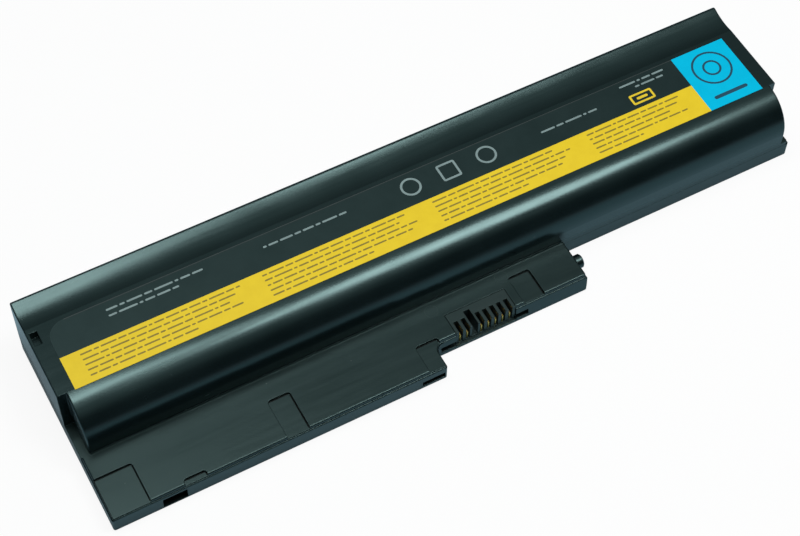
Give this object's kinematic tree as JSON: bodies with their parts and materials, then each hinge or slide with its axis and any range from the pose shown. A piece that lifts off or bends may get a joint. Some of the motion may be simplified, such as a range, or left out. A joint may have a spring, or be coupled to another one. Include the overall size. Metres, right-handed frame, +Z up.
{
  "type": "laptop battery",
  "caption": "Long rechargeable laptop battery pack: rounded cell body with a rear ridge, a thin stepped tongue in front with a finned contact connector, and a coloured label.",
  "frame": {"origin": "middle of the flat base", "axes": "+X along the length to the right of the label, +Y from the tongue to the rear ridge, +Z up out of the label"},
  "size_m": [0.2068, 0.0582, 0.0209],
  "materials": {
    "case_plastic": "satin moulded plastic, fine texture",
    "connector_plastic": "moulded plastic",
    "contact_gold": "gold plated spring metal",
    "cell_sleeve": "shrink sleeve over a steel can",
    "nickel": "nickel strip",
    "paper_board": "insulating paper",
    "foam": "closed-cell foam",
    "circuit_laminate": "solder mask over glass laminate",
    "component_black": "moulded component body",
    "component_pale": "ceramic body",
    "lead_red": "insulated lead",
    "lead_black": "insulated lead",
    "lead_white": "insulated lead",
    "label_dark": "printed film",
    "label_yellow": "printed film",
    "label_blue": "printed film"
  },
  "bodies": {
    "root": {"lower_case": "case_plastic", "upper_cover": "case_plastic", "connector_housing": "connector_plastic", "contact_blade_1": "contact_gold", "contact_blade_2": "contact_gold", "contact_blade_3": "contact_gold", "contact_blade_4": "contact_gold", "contact_blade_5": "contact_gold", "contact_blade_6": "contact_gold", "contact_blade_7": "contact_gold", "front_cell_1": "cell_sleeve", "front_cell_2": "cell_sleeve", "front_cell_3": "cell_sleeve", "rear_cell_1": "cell_sleeve", "rear_cell_2": "cell_sleeve", "rear_cell_3": "cell_sleeve", "negative_strap": "nickel", "positive_strap": "nickel", "link_strap_1": "nickel", "link_strap_2": "nickel", "left_insulator": "paper_board", "right_insulator": "paper_board", "foam_strip": "foam", "circuit_board": "circuit_laminate", "gauge_chip": "component_black", "switch_transistor_1": "component_black", "switch_transistor_2": "component_black", "board_fuse": "component_pale", "sense_resistor": "component_black", "temperature_sensor": "component_black", "negative_lead": "lead_black", "middle_lead": "lead_white", "positive_lead": "lead_red", "label_dark_field": "label_dark", "label_yellow_field": "label_yellow", "label_blue_field": "label_blue"}
  },
  "joints": []
}
